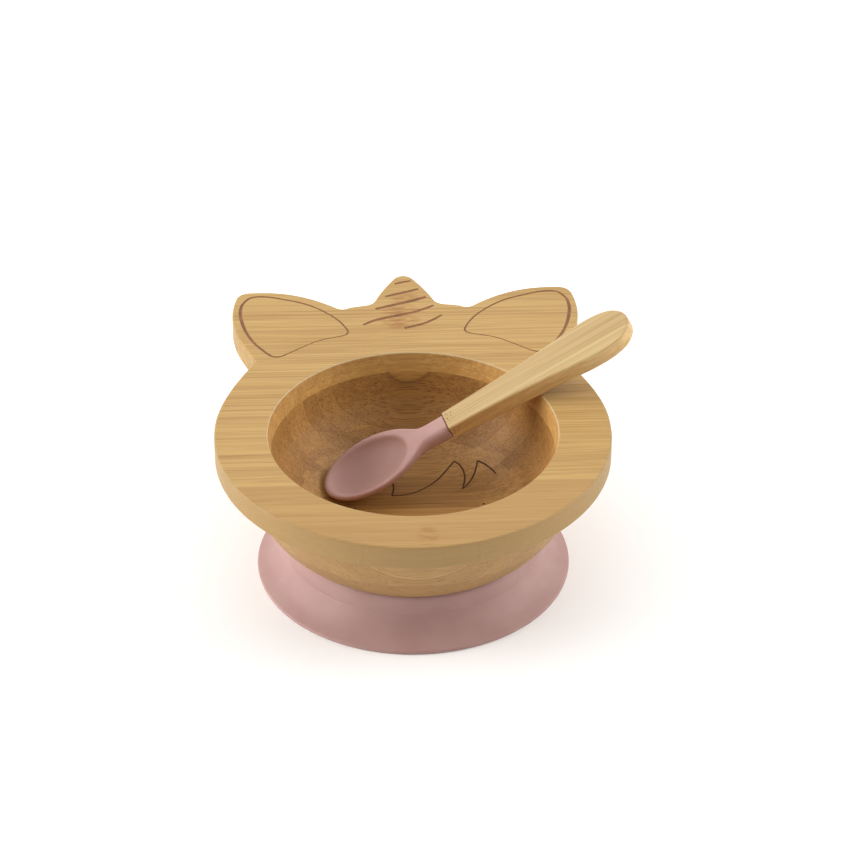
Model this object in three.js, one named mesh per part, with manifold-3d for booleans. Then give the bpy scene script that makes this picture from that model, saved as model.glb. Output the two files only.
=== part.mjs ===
// Child's suction bowl: a turned and carved bowl of glued bamboo boards with an animal-shaped rim,
// a silicone suction ring that is stretched over the bowl's foot, and a silicone-tipped bamboo spoon
// that lies in the bowl. Millimetres, +Z up, resting on z = 0.
import * as THREE from "three";
import { mergeVertices } from "three/addons/utils/BufferGeometryUtils.js";
import Module from "manifold-3d";

const wasm = await Module();
wasm.setup();

// ---- Driving dimensions -------------------------------------------------------------------------
const RIM_RADIUS = 70; // round part of the rim
const RIM_TOP = 56; // height of the rim's top face, and of the bowl
const RIM_BOTTOM = 47; // underside of the rim boards
const RIM_EDGE = 0.75; // softened edge of the rim
const RIM_JOINT_Y = -32; // glue line between the rear and the front rim board
const WALL_BOTTOM = 30; // glue line between the wall board and the floor board
const FLOOR_BOTTOM = 17.5; // glue line between the floor board and the foot
const FOOT_BOTTOM = 9.5;
const FOOT_RADIUS = 42.7;
const FLOOR_TOP = 20; // food surface at the bottom of the bowl
const MOUTH_RADIUS = 51.15;
const MOUTH_EDGE = 0.6; // softened edge of the mouth
const SEAT_RADIUS = 53.5; // recess in the rim's underside that the wall board is let into
const SEAT_DEPTH = 1.4;
const CAVITY_AT_SEAT = 50.2; // cavity radius at the top of the recess
const CAVITY_AT_WALL_BOTTOM = 43;
const BOWL_AT_RIM_BOTTOM = 62.5; // outside radius there
const BOWL_AT_WALL_BOTTOM = 56.5;
const BOWL_AT_FLOOR_BOTTOM = 46;

const EAR_TIP = new THREE.Vector2(63.3, 89.2); // outer corner of an ear, before its rounding
const HORN_TIP = 105.2;
const FOREHEAD_RADIUS = 85.8; // rim edge between horn and ears, about the bowl's axis
const FOREHEAD_ENDS = [20.8, 14.6]; // where that edge runs into an ear and into the horn
const NOTCH = new THREE.Vector2(55.6, 47.3); // where an ear leaves the round part of the rim

const LIP_RADIUS = 56.2; // suction lip on the table
const LIP_LAND = 3; // width of its sealing face
const LIP_THICKNESS = 1.2;
const SKIRT_THICKNESS = 2;
const CREASE_RADIUS = 46.4; // where the skirt meets the collar
const CREASE_HEIGHT = 10;
const COLLAR_TOP = 17.2;
const FIT_GAP = 0.3; // between the collar and the foot, and in the spoon's socket
const FLANGE_TOP = 9.2; // inner flange under the foot
const FLANGE_THICKNESS = 2.2;
const FLANGE_RADIUS = 31; // opening inside the flange

const HANDLE_LENGTH = 75;
const HANDLE_NECK_HALF = 4.5; // half-widths of the handle
const HANDLE_PADDLE_HALF = 9.2;
const HANDLE_NECK_THICK = 6.7;
const HANDLE_MID_THICK = 7.2;
const HANDLE_END_THICK = 5.9;
const TENON = new THREE.Vector3(12, 4.6, 3); // length, width, thickness
const HEAD_CENTRE = -31.3; // middle of the spoon's bowl, from the joint with the handle
const HEAD_SIZE = new THREE.Vector3(19, 12.9, 7.6); // half-length, half-width, depth
const HOLLOW_CENTRE = -32.3;
const HOLLOW_SIZE = new THREE.Vector3(15.6, 10.7, 5.6);

const SPOON_HEADING = 10.6; // degrees from +X towards +Y
const SPOON_PITCH = 27.65; // handle end up
const SPOON_ROLL = 9; // towards the front
const SPOON_JOINT = new THREE.Vector3(12.1, 18.9, 47.45); // middle of its top face at the joint

const ROUND = 80; // segments around the bowl

// ---- Materials ----------------------------------------------------------------------------------
const bamboo = (color) => new THREE.MeshStandardMaterial({ color, roughness: 0.55, metalness: 0 });
const silicone = (color) => new THREE.MeshStandardMaterial({ color, roughness: 0.62, metalness: 0 });

// ---- Solids -------------------------------------------------------------------------------------
function solidOf(geometry) {
  const bare = geometry.clone();
  bare.deleteAttribute("normal");
  bare.deleteAttribute("uv");
  const merged = mergeVertices(bare, 1e-4);
  return new wasm.Manifold(
    new wasm.Mesh({
      numProp: 3,
      vertProperties: new Float32Array(merged.attributes.position.array),
      triVerts: new Uint32Array(merged.index.array),
    }),
  );
}

function geometryOf(solid) {
  const mesh = solid.getMesh();
  const geometry = new THREE.BufferGeometry();
  geometry.setAttribute("position", new THREE.BufferAttribute(mesh.vertProperties, 3));
  geometry.setIndex(new THREE.BufferAttribute(mesh.triVerts, 1));
  geometry.computeVertexNormals();
  return geometry;
}

function namedMesh(name, geometry, material) {
  const mesh = new THREE.Mesh(geometry, material);
  mesh.name = name;
  return mesh;
}

// A body turned about Z from a profile of [radius, height] points, listed upwards along the outside.
function turned(profile) {
  const points = profile.map(([radius, height]) => new THREE.Vector2(radius, height));
  const geometry = new THREE.LatheGeometry(points, ROUND);
  geometry.rotateX(Math.PI / 2);
  return geometry;
}

function block(low, high) {
  const size = new THREE.Vector3().subVectors(high, low);
  const centre = new THREE.Vector3().addVectors(high, low).multiplyScalar(0.5);
  const geometry = new THREE.BoxGeometry(size.x, size.y, size.z);
  geometry.translate(centre.x, centre.y, centre.z);
  return solidOf(geometry);
}

// Points of a smooth curve through a few [radius, height] points.
function curveThrough(points, steps) {
  const knots = points.map(([radius, height]) => new THREE.Vector2(radius, height));
  return new THREE.SplineCurve(knots).getPoints(steps).map((point) => [point.x, point.y]);
}

// ---- Bowl ---------------------------------------------------------------------------------------
// Height of the point at x on a circle about the axis, seen from above.
const acrossFrom = (x, radius) => Math.sqrt(radius ** 2 - x ** 2);

// Right half of the rim, from the front round to the tip of the horn.
function rimHalf() {
  const path = new THREE.Path();
  path.absarc(0, 0, RIM_RADIUS, -Math.PI / 2, 0, false);
  path.bezierCurveTo(RIM_RADIUS, 8, RIM_RADIUS - 0.1, 21.6, NOTCH.x, NOTCH.y);
  path.bezierCurveTo(58.8, 56.8, 64.2, 65, 64.3, 79);
  path.quadraticCurveTo(64.3, 84.5, EAR_TIP.x, EAR_TIP.y);
  path.quadraticCurveTo(62.6, 95, 57.5, 95.1);
  path.bezierCurveTo(46, 95.8, 36, 92.3, 25.2, 83);
  path.quadraticCurveTo(23, 81.3, FOREHEAD_ENDS[0], acrossFrom(FOREHEAD_ENDS[0], FOREHEAD_RADIUS));
  const foreheadFrom = Math.acos(FOREHEAD_ENDS[0] / FOREHEAD_RADIUS);
  const foreheadTo = Math.acos(FOREHEAD_ENDS[1] / FOREHEAD_RADIUS);
  path.absarc(0, 0, FOREHEAD_RADIUS, foreheadFrom, foreheadTo, false);
  path.quadraticCurveTo(12.2, 85.1, 11.1, 87.4);
  path.quadraticCurveTo(8.2, 95.5, 3.6, 103);
  path.quadraticCurveTo(2.2, HORN_TIP, 0, HORN_TIP);
  return path;
}

function rimOutline() {
  const rightHalf = [];
  for (const curve of rimHalf().curves) {
    const steps = curve.type === "EllipseCurve" && curve.xRadius === RIM_RADIUS ? 26 : 7;
    const points = curve.getPoints(curve.type === "LineCurve" ? 1 : steps);
    rightHalf.push(...points.slice(rightHalf.length ? 1 : 0));
  }
  const leftHalf = rightHalf.slice(1, -1).reverse();
  const mirrored = leftHalf.map((point) => new THREE.Vector2(-point.x, point.y));
  return new THREE.Shape([...rightHalf, ...mirrored]);
}

function rimPlate() {
  const plate = new THREE.ExtrudeGeometry(rimOutline(), {
    depth: RIM_TOP - RIM_BOTTOM - 2 * RIM_EDGE,
    bevelThickness: RIM_EDGE,
    bevelSize: RIM_EDGE,
    bevelOffset: -RIM_EDGE,
    bevelSegments: 2,
    steps: 1,
  });
  plate.translate(0, 0, RIM_BOTTOM + RIM_EDGE);
  const mouth = turned([
    [0, RIM_BOTTOM - 1],
    [SEAT_RADIUS, RIM_BOTTOM - 1],
    [SEAT_RADIUS, RIM_BOTTOM + SEAT_DEPTH],
    [CAVITY_AT_SEAT, RIM_BOTTOM + SEAT_DEPTH],
    [MOUTH_RADIUS, RIM_TOP - MOUTH_EDGE],
    [MOUTH_RADIUS + MOUTH_EDGE, RIM_TOP],
    [MOUTH_RADIUS + MOUTH_EDGE, RIM_TOP + 1],
    [0, RIM_TOP + 1],
  ]);
  return solidOf(plate).subtract(solidOf(mouth));
}

function rimBoards() {
  const plate = rimPlate();
  const far = 200;
  const rear = block(new THREE.Vector3(-far, RIM_JOINT_Y, 0), new THREE.Vector3(far, far, far));
  const front = block(new THREE.Vector3(-far, -far, 0), new THREE.Vector3(far, RIM_JOINT_Y, far));
  return [
    namedMesh("rim_board_rear", geometryOf(plate.intersect(rear)), bamboo(0xd2a667)),
    namedMesh("rim_board_front", geometryOf(plate.intersect(front)), bamboo(0xd6ac70)),
  ];
}

function wallBoard() {
  const outside = curveThrough(
    [
      [BOWL_AT_WALL_BOTTOM, WALL_BOTTOM],
      [60.4, 39],
      [BOWL_AT_RIM_BOTTOM, RIM_BOTTOM],
    ],
    4,
  );
  const inside = curveThrough(
    [
      [CAVITY_AT_SEAT, RIM_BOTTOM + SEAT_DEPTH],
      [48.2, 38.5],
      [CAVITY_AT_WALL_BOTTOM, WALL_BOTTOM],
    ],
    4,
  );
  const seat = [
    [SEAT_RADIUS, RIM_BOTTOM],
    [SEAT_RADIUS, RIM_BOTTOM + SEAT_DEPTH],
  ];
  const profile = [...outside, ...seat, ...inside, outside[0]];
  return namedMesh("wall_board", turned(profile), bamboo(0xb98a4e));
}

function floorBoard() {
  const outside = curveThrough(
    [
      [BOWL_AT_FLOOR_BOTTOM, FLOOR_BOTTOM],
      [49.3, 20.3],
      [53, 24.5],
      [BOWL_AT_WALL_BOTTOM, WALL_BOTTOM],
    ],
    6,
  );
  const inside = curveThrough(
    [
      [CAVITY_AT_WALL_BOTTOM, WALL_BOTTOM],
      [38.5, 25],
      [32.5, 21.7],
      [24, FLOOR_TOP],
    ],
    6,
  );
  const profile = [[0, FLOOR_BOTTOM], ...outside, ...inside, [0, FLOOR_TOP]];
  return namedMesh("floor_board", turned(profile), bamboo(0xc39658));
}

function footBoard() {
  const chamfer = 0.75;
  const profile = [
    [0, FOOT_BOTTOM],
    [FOOT_RADIUS - chamfer, FOOT_BOTTOM],
    [FOOT_RADIUS, FOOT_BOTTOM + chamfer],
    [FOOT_RADIUS, FLOOR_BOTTOM],
    [0, FLOOR_BOTTOM],
  ];
  return namedMesh("foot_board", turned(profile), bamboo(0xc99d5f));
}

// ---- Suction ring -------------------------------------------------------------------------------
function suctionRing() {
  const bore = FOOT_RADIUS + FIT_GAP;
  const flangeBottom = FLANGE_TOP - FLANGE_THICKNESS;
  const skirt = curveThrough(
    [
      [LIP_RADIUS, LIP_THICKNESS],
      [51.6, 3.6],
      [48.2, 6.8],
      [CREASE_RADIUS, CREASE_HEIGHT],
    ],
    5,
  );
  const underSkirt = curveThrough(
    [
      [CREASE_RADIUS - SKIRT_THICKNESS - 1.6, flangeBottom],
      [47, 4.4],
      [50.2, 1.9],
      [LIP_RADIUS - LIP_LAND, 0],
    ],
    4,
  );
  const profile = [
    [LIP_RADIUS, 0],
    ...skirt,
    [CREASE_RADIUS + 0.1, 12.6],
    [CREASE_RADIUS - 0.3, 15.8],
    [CREASE_RADIUS - 1.1, COLLAR_TOP - 0.1],
    [CREASE_RADIUS - 2, COLLAR_TOP],
    [bore, COLLAR_TOP - 0.4],
    [bore, FLANGE_TOP],
    [FLANGE_RADIUS, FLANGE_TOP],
    [FLANGE_RADIUS, flangeBottom],
    ...underSkirt,
    [LIP_RADIUS, 0],
  ];
  return namedMesh("suction_ring", turned(profile), silicone(0xc39490));
}

// ---- Spoon --------------------------------------------------------------------------------------
// The spoon's own frame: x along it from the joint towards the handle's end, y across, z up,
// with z = 0 at the handle's flat top.
function extruded(points, depth, bevel = 0) {
  return new THREE.ExtrudeGeometry(new THREE.Shape(points), {
    depth: depth - 2 * bevel,
    bevelEnabled: bevel > 0,
    bevelThickness: bevel,
    bevelSize: bevel,
    bevelOffset: -bevel,
    bevelSegments: 2,
    curveSegments: 8,
  });
}

// A slab whose outline is seen from the side, 60 mm wide.
function sideSlab(points) {
  const width = 60;
  const geometry = extruded(points, width);
  geometry.rotateX(Math.PI / 2);
  geometry.translate(0, width / 2, 0);
  return solidOf(geometry);
}

// A slab whose outline is seen from above, from z = -40 to z = 10.
function planSlab(points) {
  const geometry = extruded(points, 50);
  geometry.translate(0, 0, -40);
  return solidOf(geometry);
}

const vectors = (pairs) => pairs.map(([x, y]) => new THREE.Vector2(x, y));

function handleOutline() {
  const end = HANDLE_LENGTH;
  const side = new THREE.Path();
  side.moveTo(0, HANDLE_NECK_HALF);
  side.bezierCurveTo(22, HANDLE_NECK_HALF + 0.7, 38, 6.6, 52, 8.45);
  side.bezierCurveTo(58, 9.3, end - 10, HANDLE_PADDLE_HALF + 0.7, end - 4.6, 7.4);
  side.bezierCurveTo(end - 1.4, 5.4, end, 2.8, end, 0);
  const far = side.getPoints(8);
  const near = far.slice(0, -1).reverse();
  return [...far, ...near.map((point) => new THREE.Vector2(point.x, -point.y))];
}

function spoonHandle() {
  const under = new THREE.SplineCurve(
    vectors([
      [0, -HANDLE_NECK_THICK],
      [26, -HANDLE_MID_THICK],
      [54, -6.8],
      [HANDLE_LENGTH, -HANDLE_END_THICK],
    ]),
  );
  const side = [...under.getPoints(10), ...vectors([[HANDLE_LENGTH, 0], [0, 0]])];
  const body = planSlab(handleOutline()).intersect(sideSlab(side));
  const middle = -HANDLE_NECK_THICK / 2;
  const tenon = block(
    new THREE.Vector3(-TENON.x, -TENON.y / 2, middle - TENON.z / 2),
    new THREE.Vector3(1, TENON.y / 2, middle + TENON.z / 2),
  );
  return namedMesh("spoon_handle", geometryOf(body.add(tenon)), bamboo(0xd9b174));
}

function ellipsoid(centre, size) {
  const geometry = new THREE.SphereGeometry(1, 40, 20);
  geometry.scale(size.x, size.y, size.z);
  geometry.translate(centre.x, centre.y, centre.z);
  return solidOf(geometry);
}

function spoonNeck() {
  const edge = new THREE.SplineCurve(
    vectors([
      [-FIT_GAP, HANDLE_NECK_HALF],
      [-8, 4.4],
      [-13, 4.9],
      [-17, 6.7],
    ]),
  ).getPoints(8);
  const plan = [...edge, ...edge.map((point) => new THREE.Vector2(point.x, -point.y)).reverse()];
  const side = vectors([
    [-FIT_GAP, -HANDLE_NECK_THICK],
    [-FIT_GAP, 0],
    [-17, 0],
    [-17, -3.6],
    [-12, -5.8],
    [-6, -6.5],
  ]);
  return planSlab(plan).intersect(sideSlab(side));
}

function spoonHead() {
  const centre = new THREE.Vector3(HEAD_CENTRE, 0, 0);
  const below = block(new THREE.Vector3(-80, -30, -30), new THREE.Vector3(-FIT_GAP, 30, 0));
  const outer = ellipsoid(centre, HEAD_SIZE).intersect(below);
  const hollow = ellipsoid(new THREE.Vector3(HOLLOW_CENTRE, 0, 0), HOLLOW_SIZE);
  const middle = -HANDLE_NECK_THICK / 2;
  const socket = block(
    new THREE.Vector3(-TENON.x - FIT_GAP, -TENON.y / 2 - FIT_GAP, middle - TENON.z / 2 - FIT_GAP),
    new THREE.Vector3(1, TENON.y / 2 + FIT_GAP, middle + TENON.z / 2 + FIT_GAP),
  );
  const solid = outer.add(spoonNeck()).subtract(hollow).subtract(socket);
  return namedMesh("spoon_head", geometryOf(solid), silicone(0xb98a87));
}

function spoon() {
  const lying = new THREE.Group();
  lying.add(spoonHandle(), spoonHead());
  const heading = THREE.MathUtils.degToRad(SPOON_HEADING);
  const pitch = THREE.MathUtils.degToRad(-SPOON_PITCH);
  const roll = THREE.MathUtils.degToRad(SPOON_ROLL);
  lying.rotation.set(roll, pitch, heading, "ZYX");
  lying.position.copy(SPOON_JOINT);
  return lying;
}

// ---- Assembly: the origin is the middle of the whole object's footprint box ---------------------
const assembly = new THREE.Group();
assembly.add(...rimBoards(), wallBoard(), floorBoard(), footBoard(), suctionRing(), spoon());

const suctionBowl = new THREE.Group();
suctionBowl.add(assembly);
const extent = new THREE.Box3().setFromObject(suctionBowl, true);
const middle = extent.getCenter(new THREE.Vector3());
assembly.position.set(-middle.x, -middle.y, 0);

export default suctionBowl;
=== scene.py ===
"""Looks of the suction bowl: bamboo boards with burnt lines, a silicone suction ring and a spoon.

Lengths below are millimetres. The bowl's pieces are made about the bowl's axis, with z = 0 on the
table, and the spoon's pieces in the spoon's own frame: x from the joint of head and handle towards
the handle's end, y across, and z = 0 at the flat top.
"""

import math

import bmesh
import bpy
import numpy as np
from mathutils import Matrix, Vector

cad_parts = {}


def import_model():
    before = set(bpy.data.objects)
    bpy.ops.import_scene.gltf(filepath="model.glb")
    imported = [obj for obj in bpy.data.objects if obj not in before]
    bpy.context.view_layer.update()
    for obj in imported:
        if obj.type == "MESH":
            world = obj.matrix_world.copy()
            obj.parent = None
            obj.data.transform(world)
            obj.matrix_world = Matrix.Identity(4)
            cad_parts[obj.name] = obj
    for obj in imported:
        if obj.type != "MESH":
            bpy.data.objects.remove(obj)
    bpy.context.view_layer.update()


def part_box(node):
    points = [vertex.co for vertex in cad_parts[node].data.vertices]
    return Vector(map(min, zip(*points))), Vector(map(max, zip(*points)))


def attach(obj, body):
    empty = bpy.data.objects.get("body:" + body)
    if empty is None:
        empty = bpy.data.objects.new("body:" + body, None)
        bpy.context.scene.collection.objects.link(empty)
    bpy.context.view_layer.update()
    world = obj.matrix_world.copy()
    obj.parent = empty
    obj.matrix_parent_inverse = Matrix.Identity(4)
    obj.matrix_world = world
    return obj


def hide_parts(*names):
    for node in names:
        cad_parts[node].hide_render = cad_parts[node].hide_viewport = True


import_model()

MM = 0.001  # metres
ring_low, ring_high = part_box("suction_ring")
AXIS = Vector(((ring_low.x + ring_high.x) / 2, (ring_low.y + ring_high.y) / 2, ring_low.z))


def span(node, direction):
    """A node's lowest and highest places about the bowl's axis along X, Y or Z (0, 1 or 2)."""
    low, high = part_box(node)
    return tuple(round((end[direction] - AXIS[direction]) / MM, 3) for end in (low, high))


# ---- Dimensions ---------------------------------------------------------------------------------
RIM_BOTTOM, RIM_TOP = span("rim_board_rear", 2)
RIM_RADIUS = -span("rim_board_front", 1)[0]
RIM_JOINT_Y = span("rim_board_front", 1)[1]
RIM_EDGE = 0.75  # radius of rounded edges
BESIDE_EDGE = 0.35  # narrow band of faces beside a rounded edge
WALL_BOTTOM, WALL_TOP = span("wall_board", 2)
FLOOR_BOTTOM = span("floor_board", 2)[0]
FOOT_BOTTOM = span("foot_board", 2)[0]
FOOT_RADIUS = span("foot_board", 0)[1]
MOUTH_RADIUS = 51.15
MOUTH_EDGE = 0.6
NOTCH = (55.6, 47.3)
FOREHEAD_RADIUS = 85.8
FOREHEAD_ENDS = (20.8, 14.6)
WALL_INSIDE = [(50.2, WALL_TOP), (48.2, 38.5), (43.0, WALL_BOTTOM)]
WALL_OUTSIDE = [(56.5, WALL_BOTTOM), (60.4, 39.0), (62.5, RIM_BOTTOM)]
SEAT = [(53.5, RIM_BOTTOM), (53.5, WALL_TOP)]  # recess in the rim that the wall board is let into
FLOOR_INSIDE = [(43.0, WALL_BOTTOM), (38.5, 25.0), (32.5, 21.7), (24.0, 20.0)]
FLOOR_FLAT = [(12.0, 20.0), (0.0, 20.0)]
FLOOR_OUTSIDE = [(46.0, FLOOR_BOTTOM), (49.3, 20.3), (53.0, 24.5), (56.5, WALL_BOTTOM)]

HANDLE_LENGTH = 75.0
HANDLE_HALF = 4.5
HANDLE_UNDER = [(0, -6.7), (26, -7.2), (54, -6.8), (HANDLE_LENGTH, -5.9)]
TENON = (12.0, 4.6, 3.0)  # length, width and thickness
TENON_HEIGHT = -3.35
FIT_GAP = 0.3
HEAD_CENTRE = (-31.3, 0.0, 0.0)
HEAD_SIZE = (19.0, 12.9, 7.6)
HOLLOW_CENTRE = (-32.3, 0.0, 0.0)
HOLLOW_SIZE = (15.6, 10.7, 5.6)
SPOON_JOINT = (12.1, 18.9, 47.45)
SPOON_ANGLES = (10.6, 27.65, 9.0)  # heading, pitch and roll in degrees

ROUND = 216  # segments around turned pieces


# ---- Curves -------------------------------------------------------------------------------------
def bezier(points, steps):
    """Points of a Bezier curve of any degree."""
    points = np.array(points, float)
    degree = len(points) - 1
    t = np.linspace(0, 1, steps + 1)[:, None]
    terms = [math.comb(degree, k) * t**k * (1 - t) ** (degree - k) * points[k] for k in range(degree + 1)]
    return sum(terms)


def arc(radius, start, end, steps):
    angles = np.linspace(start, end, steps + 1)
    return np.column_stack([radius * np.cos(angles), radius * np.sin(angles)])


def spline(points, steps, closed=False):
    """A uniform Catmull-Rom curve through the points, with steps points for each span."""
    points = np.array(points, float)
    count = len(points)
    spans = count if closed else count - 1
    made = []
    for i in range(spans):
        if closed:
            p0, p1, p2, p3 = (points[(i + k) % count] for k in (-1, 0, 1, 2))
        else:
            p0, p1, p2, p3 = (points[min(max(i + k, 0), count - 1)] for k in (-1, 0, 1, 2))
        t = np.linspace(0, 1, steps, endpoint=False)[:, None]
        v0, v1 = (p2 - p0) / 2, (p3 - p1) / 2
        cubic = 2 * p1 - 2 * p2 + v0 + v1
        squared = 3 * p2 - 3 * p1 - 2 * v0 - v1
        made.append(cubic * t**3 + squared * t**2 + v0 * t + p1)
    if not closed:
        made.append(points[-1:])
    return np.vstack(made)


def rounding(radius, steps):
    """(inset, drop) pairs of a quarter round, from the flat above to the side."""
    angles = np.linspace(0, math.pi / 2, steps + 1)
    return [(radius * (1 - math.sin(a)), radius * (1 - math.cos(a))) for a in angles]


def unit(vectors):
    return vectors / np.linalg.norm(vectors, axis=1)[:, None]


def steps_along(path, closed):
    """The step from each point of a path to the next, and to each point from the last."""
    ahead = np.roll(path, -1, axis=0) - path
    behind = path - np.roll(path, 1, axis=0)
    if not closed:
        ahead[-1] = behind[-1]
        behind[0] = ahead[0]
    return ahead, behind


def inset(outline, distance, closed=True):
    """The outline moved inwards (to the left of its direction), mitred at its corners."""
    ahead, behind = steps_along(outline, closed)
    n1 = unit(np.column_stack([-behind[:, 1], behind[:, 0]]))
    n2 = unit(np.column_stack([-ahead[:, 1], ahead[:, 0]]))
    scale = 1 + (n1 * n2).sum(axis=1)
    return outline + distance * (n1 + n2) / scale[:, None]


def cavity_height(radius):
    """Height of the floor board's upper surface at a distance from the axis."""
    curve = spline(FLOOR_INSIDE, 24)[::-1]
    return float(np.interp(radius, curve[:, 0], curve[:, 1]))


# ---- Meshes -------------------------------------------------------------------------------------
def outward(mesh_verts, faces):
    """The faces, turned round if they enclose a negative volume."""
    verts = np.asarray(mesh_verts)
    volume = 0.0
    for face in faces:
        a = verts[face[0]]
        for k in range(1, len(face) - 1):
            volume += np.dot(a, np.cross(verts[face[k]], verts[face[k + 1]]))
    return faces if volume > 0 else [tuple(reversed(face)) for face in faces]


def new_object(name, data):
    made = bpy.data.objects.new(name, data)
    bpy.context.scene.collection.objects.link(made)
    return made


def make_object(name, verts, faces, slot_of_faces=0):
    mesh = bpy.data.meshes.new(name)
    mesh.from_pydata([tuple(v) for v in np.asarray(verts) * MM], [], outward(verts, faces))
    mesh.update()
    if slot_of_faces:
        mesh.polygons.foreach_set("material_index", [slot_of_faces] * len(mesh.polygons))
    return new_object(name, mesh)


def quads(rows, columns, closed_rows=True, closed_columns=True):
    """Faces between rows of points. A closed direction goes on from its end to its start."""
    faces = []
    for i in range(rows if closed_rows else rows - 1):
        low, high = i * columns, (i + 1) % rows * columns
        for k in range(columns if closed_columns else columns - 1):
            m = (k + 1) % columns
            faces.append((low + k, low + m, high + m, high + k))
    return faces


def turned(profile, segments=ROUND):
    """Vertices and faces of a closed profile of (radius, height) turned about the axis."""
    verts, rings = [], []
    angles = np.linspace(0, 2 * math.pi, segments, endpoint=False)
    for radius, height in profile:
        if radius < 1e-6:
            rings.append([len(verts)] * segments)
            verts.append((0.0, 0.0, height))
            continue
        rings.append(list(range(len(verts), len(verts) + segments)))
        verts.extend((radius * math.cos(a), radius * math.sin(a), height) for a in angles)
    faces = []
    for k, lower in enumerate(rings):
        upper = rings[(k + 1) % len(rings)]
        for i in range(segments):
            j = (i + 1) % segments
            face = list(dict.fromkeys((lower[i], lower[j], upper[j], upper[i])))
            if len(face) > 2:
                faces.append(tuple(face))
    return np.array(verts), faces


def tube(path, radii, ups, closed=False, sides=12):
    """Vertices and faces of a round bar along a path, with pointed ends unless it is closed."""
    path = np.array(path, float)
    ahead, behind = steps_along(path, closed)
    along = unit(unit(ahead) + unit(behind))
    across = unit(np.cross(along, ups))
    rise = np.cross(across, along)
    verts = []
    for i in range(len(path)):
        for k in range(sides):
            a = 2 * math.pi * (k + 0.5) / sides
            verts.append(path[i] + radii[i] * (math.cos(a) * across[i] + math.sin(a) * rise[i]))
    count = len(path)
    faces = quads(count, sides, closed_rows=closed)
    if not closed:
        verts.append(path[0] - along[0] * radii[0] * 0.6)
        verts.append(path[-1] + along[-1] * radii[-1] * 0.6)
        for k in range(sides):
            m = (k + 1) % sides
            faces.append((m, k, count * sides))
            faces.append(((count - 1) * sides + k, (count - 1) * sides + m, count * sides + 1))
    return np.array(verts), faces


def ball(centre, radius):
    """A small ball, leaning so that none of its points lies in the plane of a flat face."""
    profile = [(radius * math.sin(a), -radius * math.cos(a)) for a in np.linspace(0, math.pi, 9)]
    verts, faces = turned([(abs(r) if abs(r) > 1e-9 else 0.0, z) for r, z in profile], 14)
    lean = np.array((Matrix.Rotation(0.37, 3, "X") @ Matrix.Rotation(0.53, 3, "Y")).transposed())
    return verts @ lean + np.array(centre), faces


def merged(parts):
    verts, faces = [], []
    start = 0
    for part_verts, part_faces in parts:
        part_faces = outward(part_verts, part_faces)
        verts.append(part_verts)
        faces += [tuple(i + start for i in face) for face in part_faces]
        start += len(part_verts)
    return np.vstack(verts), faces


def add_two_slots(piece):
    """Empty material slots: 0 for the piece itself and 1 for what is cut into it."""
    for _ in range(2):
        piece.data.materials.append(None)


def join_or_cut(piece, operation, verts, faces, slot_of_faces=0):
    """Applies one exact boolean to the piece's mesh."""
    tool = make_object("tool", verts, faces, slot_of_faces)
    add_two_slots(tool)
    modifier = piece.modifiers.new("cut", "BOOLEAN")
    modifier.operation = operation
    modifier.solver = "EXACT"
    modifier.object = tool
    bpy.context.view_layer.update()
    graph = bpy.context.evaluated_depsgraph_get()
    mesh = bpy.data.meshes.new_from_object(piece.evaluated_get(graph))
    piece.modifiers.clear()
    old, name = piece.data, piece.data.name
    piece.data = mesh
    bpy.data.meshes.remove(old)
    mesh.name = name
    bpy.data.objects.remove(tool)


def keep_side(piece, y, above):
    """Cuts the piece's mesh at a plane of constant y and closes the cut."""
    mesh = bmesh.new()
    mesh.from_mesh(piece.data)
    everything = mesh.verts[:] + mesh.edges[:] + mesh.faces[:]
    plane = dict(plane_co=(0, y * MM, 0), plane_no=(0, 1, 0), clear_inner=above, clear_outer=not above)
    cut = bmesh.ops.bisect_plane(mesh, geom=everything, **plane)["geom_cut"]
    bmesh.ops.holes_fill(mesh, edges=[e for e in cut if isinstance(e, bmesh.types.BMEdge)], sides=0)
    mesh.to_mesh(piece.data)
    mesh.free()


def finish_piece(piece, materials, body, node, sharp=32):
    mesh = piece.data
    while len(mesh.materials) < len(materials):
        mesh.materials.append(None)
    while len(mesh.materials) > len(materials):
        mesh.materials.pop()
    for i, material in enumerate(materials):
        mesh.materials[i] = material
    mesh.shade_smooth()
    mesh.set_sharp_from_angle(angle=math.radians(sharp))
    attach(piece, body)
    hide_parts(node)
    return piece


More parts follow.
